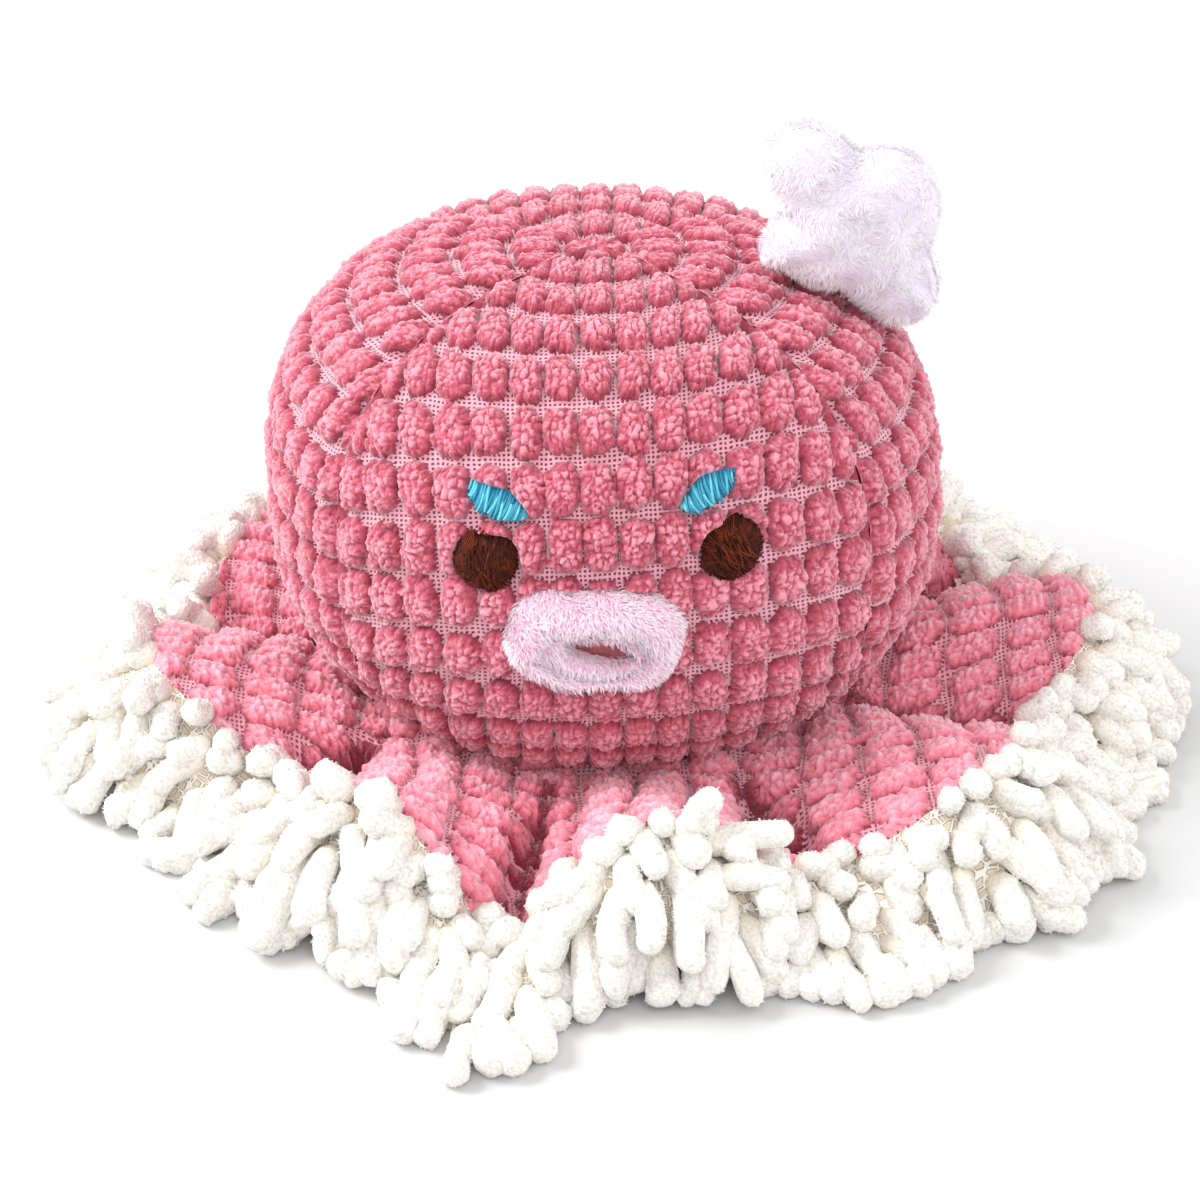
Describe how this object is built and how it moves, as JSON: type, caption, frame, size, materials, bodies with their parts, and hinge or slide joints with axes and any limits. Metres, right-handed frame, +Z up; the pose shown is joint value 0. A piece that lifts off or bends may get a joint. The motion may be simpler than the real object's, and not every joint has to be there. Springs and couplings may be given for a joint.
{
  "type": "plush octopus toy",
  "caption": "Stuffed plush octopus with a round head, an embroidered face, furry lips, a side tuft and a wavy skirt of short arms edged with chenille noodles.",
  "frame": {"origin": "centre of the flat round base, on the surface that the toy rests on", "axes": "+Z up, the face towards -Y, +X to the right as the viewer sees the face"},
  "size_m": [0.3085, 0.311, 0.1617],
  "materials": {
    "pink_plush": "matte",
    "skirt_plush": "matte",
    "white_chenille": "matte",
    "fibre_filling": "matte",
    "brown_thread": "satin",
    "turquoise_thread": "satin",
    "rose_felt": "matte",
    "lip_fur": "matte",
    "tuft_fur": "matte",
    "tuft_thread": "satin"
  },
  "bodies": {
    "head": {"head_front_panel": "pink_plush", "head_right_panel": "pink_plush", "head_back_panel": "pink_plush", "head_left_panel": "pink_plush", "head_filling": "fibre_filling", "base_panel": "pink_plush", "skirt_yoke": "skirt_plush", "lip_ring": "lip_fur", "mouth_patch": "rose_felt", "left_eye": "brown_thread", "right_eye": "brown_thread", "left_brow": "turquoise_thread", "right_brow": "turquoise_thread", "tuft_stitching": "tuft_thread"},
    "tuft": {"tuft_front_panel": "tuft_fur", "tuft_back_panel": "tuft_fur", "tuft_filling": "fibre_filling"},
    "arm_1": {"arm_1": "skirt_plush", "fringe_1": "white_chenille"},
    "arm_2": {"arm_2": "skirt_plush", "fringe_2": "white_chenille"},
    "arm_3": {"arm_3": "skirt_plush", "fringe_3": "white_chenille"},
    "arm_4": {"arm_4": "skirt_plush", "fringe_4": "white_chenille"},
    "arm_5": {"arm_5": "skirt_plush", "fringe_5": "white_chenille"},
    "arm_6": {"arm_6": "skirt_plush", "fringe_6": "white_chenille"},
    "arm_7": {"arm_7": "skirt_plush", "fringe_7": "white_chenille"},
    "arm_8": {"arm_8": "skirt_plush", "fringe_8": "white_chenille"}
  },
  "joints": [
    {"name": "arm_1_lift", "type": "hinge", "parent": "head", "child": "arm_1", "pos_m": [0.06367, -0.00669, 0.0135], "axis": [-0.1045, -0.9945, 0], "range_deg": [0, 25]},
    {"name": "arm_2_lift", "type": "hinge", "parent": "head", "child": "arm_2", "pos_m": [0.04527, 0.04527, 0.0135], "axis": [0.7071, -0.7071, 0], "range_deg": [0, 25]},
    {"name": "arm_3_lift", "type": "hinge", "parent": "head", "child": "arm_3", "pos_m": [-0.0078, 0.06354, 0.0135], "axis": [0.9925, 0.1219, 0], "range_deg": [0, 25]},
    {"name": "arm_4_lift", "type": "hinge", "parent": "head", "child": "arm_4", "pos_m": [-0.05893, 0.02501, 0.0135], "axis": [0.3907, 0.9205, 0], "range_deg": [0, 25]},
    {"name": "arm_5_lift", "type": "hinge", "parent": "head", "child": "arm_5", "pos_m": [-0.06122, -0.01872, 0.0135], "axis": [-0.2924, 0.9563, 0], "range_deg": [0, 25]},
    {"name": "arm_6_lift", "type": "hinge", "parent": "head", "child": "arm_6", "pos_m": [-0.03005, -0.05652, 0.0135], "axis": [-0.8829, 0.4695, 0], "range_deg": [0, 25]},
    {"name": "arm_7_lift", "type": "hinge", "parent": "head", "child": "arm_7", "pos_m": [0.00558, -0.06377, 0.0135], "axis": [-0.9962, -0.0872, 0], "range_deg": [0, 25]},
    {"name": "arm_8_lift", "type": "hinge", "parent": "head", "child": "arm_8", "pos_m": [0.04831, -0.042, 0.0135], "axis": [-0.6561, -0.7547, 0], "range_deg": [0, 25]},
    {"name": "tuft_flop", "type": "hinge", "parent": "head", "child": "tuft", "pos_m": [0.0505, -0.009, 0.11837], "axis": [0.9227, 0, -0.3855], "range_deg": [-15, 15], "stiffness_Nm_per_rad": 0.02}
  ],
  "couplings": [
    {"joint": "arm_2_lift", "follows": "arm_1_lift", "ratio": 1},
    {"joint": "arm_3_lift", "follows": "arm_1_lift", "ratio": 1},
    {"joint": "arm_4_lift", "follows": "arm_1_lift", "ratio": 1},
    {"joint": "arm_5_lift", "follows": "arm_1_lift", "ratio": 1},
    {"joint": "arm_6_lift", "follows": "arm_1_lift", "ratio": 1},
    {"joint": "arm_7_lift", "follows": "arm_1_lift", "ratio": 1},
    {"joint": "arm_8_lift", "follows": "arm_1_lift", "ratio": 1}
  ]
}
